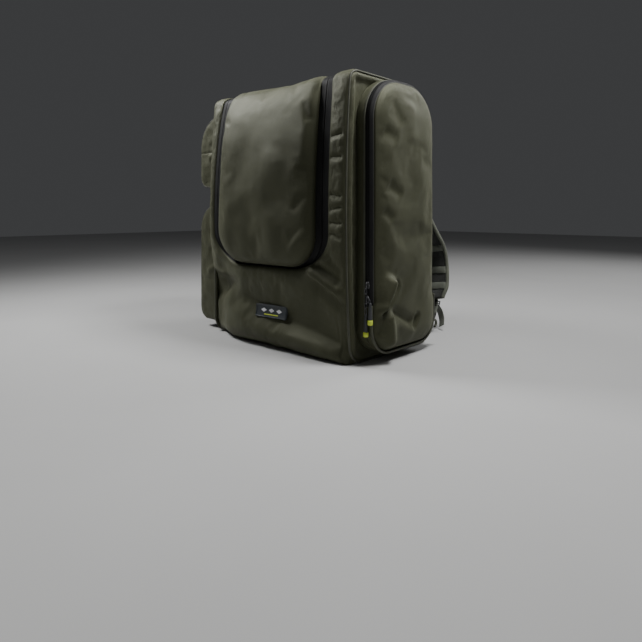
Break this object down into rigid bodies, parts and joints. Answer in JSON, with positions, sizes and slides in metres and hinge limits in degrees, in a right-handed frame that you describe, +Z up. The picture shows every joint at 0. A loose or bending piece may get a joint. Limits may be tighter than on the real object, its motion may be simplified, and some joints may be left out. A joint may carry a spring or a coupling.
{
  "type": "tackle backpack",
  "caption": "Boxy soft-sided backpack for fishing tackle with a U-zipped front lid, a tall zipped side pocket, stacked pockets opposite, padded straps and a haul handle.",
  "frame": {"origin": "centre of the base, on the surface the pack stands on", "axes": "+Z up, -Y is the front with the lid, +Y the harness side against the wearer's back, +X the side with the tall pocket"},
  "size_m": [0.5922, 0.4626, 0.5864],
  "materials": {
    "fabric": "matt olive-khaki woven polyester with a polyurethane-coated back",
    "binding": "woven olive binding tape",
    "zip_tape": "black knitted zip tape with moulded coil",
    "spacer_mesh": "black knitted spacer mesh over foam",
    "webbing": "dark woven polyester webbing",
    "moulded_plastic": "black moulded acetal",
    "slider_metal": "gunmetal-plated zinc slider",
    "puller_grip": "dark grey soft sleeve",
    "puller_tip": "lime-yellow moulded end",
    "label_rubber": "dark slate moulded patch",
    "board": "black polyethylene sheet"
  },
  "bodies": {
    "pack": {"front_panel": "fabric", "front_strip_left": "fabric", "front_strip_right": "fabric", "base_panel": "fabric", "back_panel": "fabric", "top_panel": "fabric", "left_side_panel": "fabric", "right_side_panel": "fabric", "base_board": "board", "back_frame_sheet": "board", "left_side_piping": "binding", "right_side_piping": "binding", "lid_zip_outer_half": "zip_tape", "label_patch": "label_rubber", "tall_pocket_gusset": "fabric", "tall_pocket_lower_face": "fabric", "tall_zip_outer_half": "zip_tape", "shoulder_strap_left": "fabric", "shoulder_strap_right": "fabric", "lower_webbing_left": "webbing", "lower_webbing_right": "webbing", "ladder_lock_left": "moulded_plastic", "ladder_lock_right": "moulded_plastic", "strap_anchor_left": "fabric", "strap_anchor_right": "fabric", "back_pad_left": "spacer_mesh", "back_pad_right": "spacer_mesh", "lumbar_pad": "spacer_mesh", "left_upper_pocket_shell": "fabric", "left_upper_pocket_zip_outer_half": "zip_tape", "left_lower_pocket_shell": "fabric", "left_lower_pocket_zip_outer_half": "zip_tape"},
    "lid": {"front_lid": "fabric", "lid_zip_inner_half": "zip_tape"},
    "lid_front_slider": {"lid_slider_front": "slider_metal"},
    "lid_front_pull": {"lid_pull_front": "puller_grip", "lid_pull_tip_front": "puller_tip"},
    "lid_rear_slider": {"lid_slider_rear": "slider_metal"},
    "lid_rear_pull": {"lid_pull_rear": "puller_grip", "lid_pull_tip_rear": "puller_tip"},
    "tall_door": {"tall_pocket_door": "fabric", "tall_zip_inner_half": "zip_tape"},
    "tall_upper_slider": {"tall_slider_upper": "slider_metal"},
    "tall_upper_pull": {"tall_pull_upper": "puller_grip", "tall_pull_tip_upper": "puller_tip"},
    "tall_lower_slider": {"tall_slider_lower": "slider_metal"},
    "tall_lower_pull": {"tall_pull_lower": "puller_grip", "tall_pull_tip_lower": "puller_tip"},
    "left_upper_door": {"left_upper_pocket_door": "fabric", "left_upper_pocket_zip_inner_half": "zip_tape"},
    "left_upper_slider": {"left_upper_pocket_slider": "slider_metal"},
    "left_upper_pull": {"left_upper_pocket_pull": "puller_grip"},
    "left_lower_door": {"left_lower_pocket_door": "fabric", "left_lower_pocket_zip_inner_half": "zip_tape"},
    "left_lower_slider": {"left_lower_pocket_slider": "slider_metal"},
    "left_lower_pull": {"left_lower_pocket_pull": "puller_grip"},
    "handle": {"haul_handle": "webbing"}
  },
  "joints": [
    {"name": "lid_hinge", "type": "hinge", "parent": "pack", "child": "lid", "pos_m": [0, 0.045, 0.575], "axis": [-1, 0, 0], "range_deg": [0, 110]},
    {"name": "lid_front_slider_travel", "type": "slide", "parent": "pack", "child": "lid_front_slider", "axis": [0, -1, 0], "range_m": [0, 0.1]},
    {"name": "lid_rear_slider_travel", "type": "slide", "parent": "pack", "child": "lid_rear_slider", "axis": [0, -1, 0], "range_m": [0, 0.011]},
    {"name": "lid_front_pull_hinge", "type": "hinge", "parent": "lid_front_slider", "child": "lid_front_pull", "pos_m": [0.1698, -0.0036, 0.581], "axis": [-1, 0, 0], "range_deg": [0, 120]},
    {"name": "lid_rear_pull_hinge", "type": "hinge", "parent": "lid_rear_slider", "child": "lid_rear_pull", "pos_m": [0.1698, 0.0376, 0.581], "axis": [1, 0, 0], "range_deg": [0, 120]},
    {"name": "tall_door_hinge", "type": "hinge", "parent": "pack", "child": "tall_door", "pos_m": [0.271, 0, 0.118], "axis": [0, 1, 0], "range_deg": [0, 100]},
    {"name": "tall_upper_slider_travel", "type": "slide", "parent": "pack", "child": "tall_upper_slider", "axis": [0, 0, 1], "range_m": [0, 0.28]},
    {"name": "tall_lower_slider_travel", "type": "slide", "parent": "pack", "child": "tall_lower_slider", "axis": [0, 0, 1], "range_m": [0, 0.013]},
    {"name": "tall_upper_pull_hinge", "type": "hinge", "parent": "tall_upper_slider", "child": "tall_upper_pull", "pos_m": [0.247, -0.1175, 0.1486], "axis": [-1, 0, 0], "range_deg": [0, 150]},
    {"name": "tall_lower_pull_hinge", "type": "hinge", "parent": "tall_lower_slider", "child": "tall_lower_pull", "pos_m": [0.247, -0.1175, 0.1206], "axis": [-1, 0, 0], "range_deg": [0, 150]},
    {"name": "left_upper_door_hinge", "type": "hinge", "parent": "pack", "child": "left_upper_door", "pos_m": [-0.31, 0, 0.449], "axis": [0, -1, 0], "range_deg": [0, 90]},
    {"name": "left_upper_slider_travel", "type": "hinge", "parent": "pack", "child": "left_upper_slider", "pos_m": [-0.231, 0.0972, 0.46], "axis": [0, 1, 0], "range_deg": [0, 75]},
    {"name": "left_upper_pull_hinge", "type": "hinge", "parent": "left_upper_slider", "child": "left_upper_pull", "pos_m": [-0.316, 0.0972, 0.4606], "axis": [0, 1, 0], "range_deg": [0, 120]},
    {"name": "left_lower_door_hinge", "type": "hinge", "parent": "pack", "child": "left_lower_door", "pos_m": [-0.31, 0, 0.125], "axis": [0, -1, 0], "range_deg": [0, 90]},
    {"name": "left_lower_slider_travel", "type": "slide", "parent": "pack", "child": "left_lower_slider", "axis": [0, 0, 1], "range_m": [0, 0.1]},
    {"name": "left_lower_pull_hinge", "type": "hinge", "parent": "left_lower_slider", "child": "left_lower_pull", "pos_m": [-0.316, 0.0972, 0.1296], "axis": [0, 1, 0], "range_deg": [0, 120]},
    {"name": "haul_handle_swing", "type": "hinge", "parent": "pack", "child": "handle", "pos_m": [0, 0.136, 0.532], "axis": [1, 0, 0], "range_deg": [0, 120]}
  ]
}
